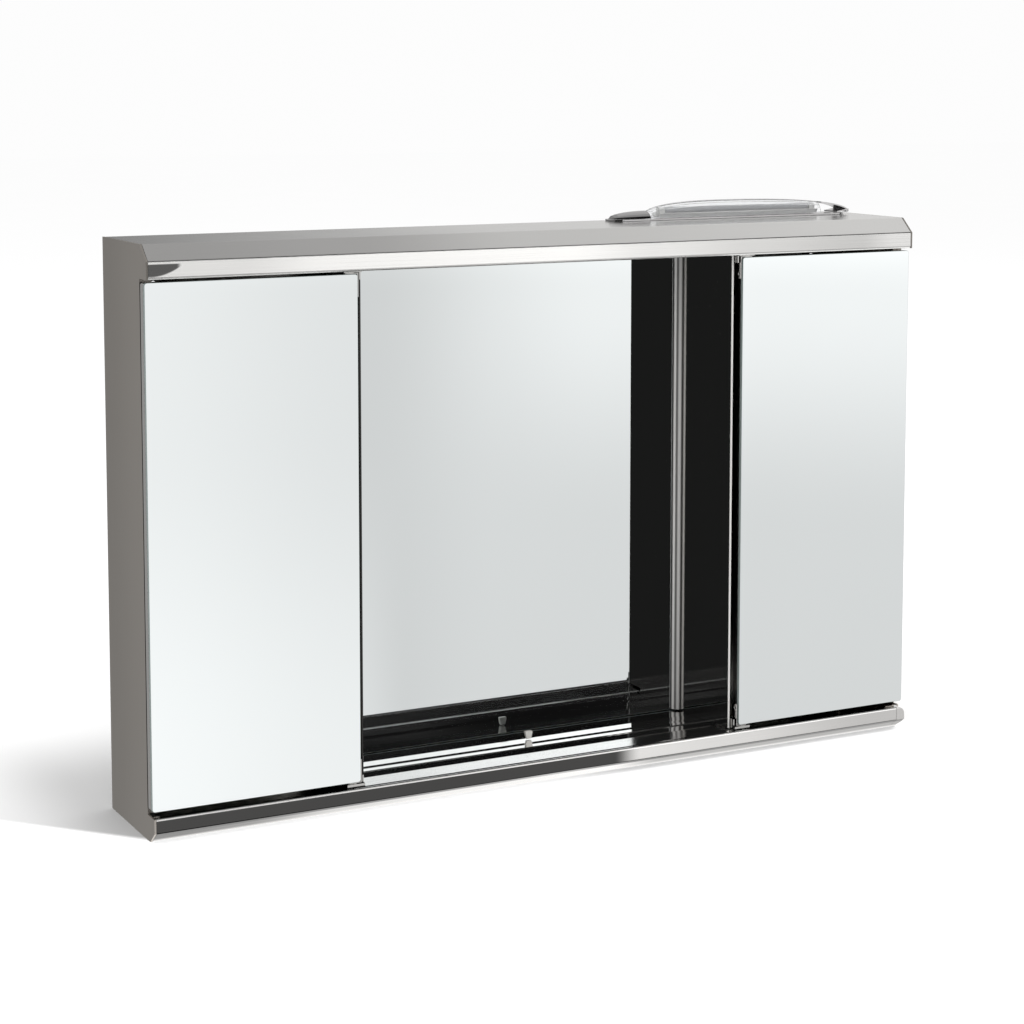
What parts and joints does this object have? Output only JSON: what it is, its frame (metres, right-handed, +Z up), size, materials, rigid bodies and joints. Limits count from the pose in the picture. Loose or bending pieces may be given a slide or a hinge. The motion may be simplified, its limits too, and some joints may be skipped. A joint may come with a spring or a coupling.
{
  "type": "medicine_cabinet_with_mirror",
  "caption": "Wall-hung stainless steel medicine cabinet: mirrored pivot doors beside an open mirrored niche, folded rails above and below, a bow lamp on top",
  "frame": {"origin": "under the middle of the cabinet, on the plane of its flat bottom", "axes": "+X along the front from the left end to the right end, +Y from the front to the wall, +Z up"},
  "size_m": [0.76, 0.114, 0.5139],
  "materials": {
    "brushed_steel": "satin brushed stainless sheet",
    "polished_steel": "mirror-polished stainless sheet",
    "bright_steel": "bright plated",
    "mirror": "silvered float glass",
    "nylon": "moulded",
    "rubber": "moulded",
    "magnet": "sintered ferrite",
    "clear_acrylic": "clear extruded",
    "lamp_glass": "frosted",
    "white_plastic": "moulded"
  },
  "bodies": {
    "cabinet": {"back_panel": "brushed_steel", "bottom_panel": "brushed_steel", "cable_gland": "rubber", "catch_housing_left": "white_plastic", "catch_housing_right": "white_plastic", "catch_magnet_left": "magnet", "catch_magnet_right": "magnet", "corner_bead_left": "bright_steel", "corner_bead_right": "bright_steel", "divider_left": "polished_steel", "divider_right": "polished_steel", "door_bumper_left_bottom": "rubber", "door_bumper_left_top": "rubber", "door_bumper_right_bottom": "rubber", "door_bumper_right_top": "rubber", "hanger_plate_left": "bright_steel", "hanger_plate_right": "bright_steel", "lamp_base": "bright_steel", "lamp_cover": "clear_acrylic", "lamp_end_left": "bright_steel", "lamp_end_right": "bright_steel", "lamp_holder_left": "white_plastic", "lamp_holder_right": "white_plastic", "lamp_reflector": "bright_steel", "lamp_screw_left": "bright_steel", "lamp_screw_right": "bright_steel", "lamp_tube": "lamp_glass", "mirror_clip": "nylon", "niche_floor": "polished_steel", "niche_mirror": "mirror", "pivot_bracket_left_bottom": "bright_steel", "pivot_bracket_left_top": "bright_steel", "pivot_bracket_right_bottom": "bright_steel", "pivot_bracket_right_top": "bright_steel", "pivot_bush_left_bottom": "nylon", "pivot_bush_left_top": "nylon", "pivot_bush_right_bottom": "nylon", "pivot_bush_right_top": "nylon", "rail_end_cap": "brushed_steel", "shelf_left_lower": "brushed_steel", "shelf_left_upper": "brushed_steel", "shelf_right_lower": "brushed_steel", "shelf_right_upper": "brushed_steel", "side_panel_left": "brushed_steel", "side_panel_right": "brushed_steel", "switch_box": "white_plastic", "top_panel": "brushed_steel"},
    "left_door": {"door_lining_left": "brushed_steel", "door_mirror_left": "mirror", "door_pan_left": "brushed_steel", "hinge_plate_left_bottom": "bright_steel", "hinge_plate_left_top": "bright_steel", "strike_plate_left": "bright_steel"},
    "right_door": {"door_lining_right": "brushed_steel", "door_mirror_right": "mirror", "door_pan_right": "brushed_steel", "hinge_plate_right_bottom": "bright_steel", "hinge_plate_right_top": "bright_steel", "strike_plate_right": "bright_steel"},
    "rocker": {"switch_rocker": "white_plastic"}
  },
  "joints": [
    {"name": "left_door_pivot", "type": "hinge", "parent": "cabinet", "child": "left_door", "pos_m": [-0.1985, -0.047, 0.2455], "axis": [0, 0, 1], "range_deg": [0, 110]},
    {"name": "right_door_pivot", "type": "hinge", "parent": "cabinet", "child": "right_door", "pos_m": [0.1985, -0.047, 0.2455], "axis": [0, 0, -1], "range_deg": [0, 110]},
    {"name": "rocker_pivot", "type": "hinge", "parent": "cabinet", "child": "rocker", "pos_m": [0.28, 0.025, 0.462], "axis": [1, 0, 0], "range_deg": [-16, 0]}
  ]
}
